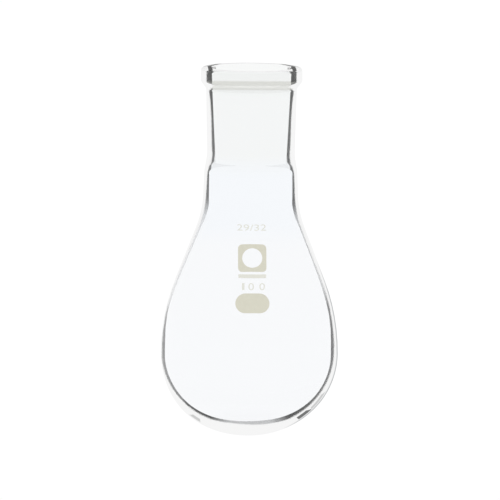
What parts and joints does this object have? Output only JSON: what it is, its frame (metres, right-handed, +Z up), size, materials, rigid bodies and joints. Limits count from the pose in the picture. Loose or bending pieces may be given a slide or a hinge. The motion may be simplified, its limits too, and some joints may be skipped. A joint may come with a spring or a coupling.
{
  "type": "recovery flask",
  "caption": "Clear glass pear-shaped recovery flask with a round bottom, a taper socket joint with a thick collar and a small enamel writing patch, set down on its rim.",
  "frame": {"origin": "the middle of the mouth, in the plane of the rim, on which the flask stands upside down", "axes": "+Z up, from the rim to the round bottom along the flask's own axis; -Y the side with the print"},
  "size_m": [0.0644, 0.0644, 0.1345],
  "materials": {
    "glass": "clear, fire-polished",
    "enamel": "fired-on enamel, satin, beige"
  },
  "bodies": {
    "root": {"flask": "glass", "writing_patch": "enamel", "square_mark": "enamel"}
  },
  "joints": []
}
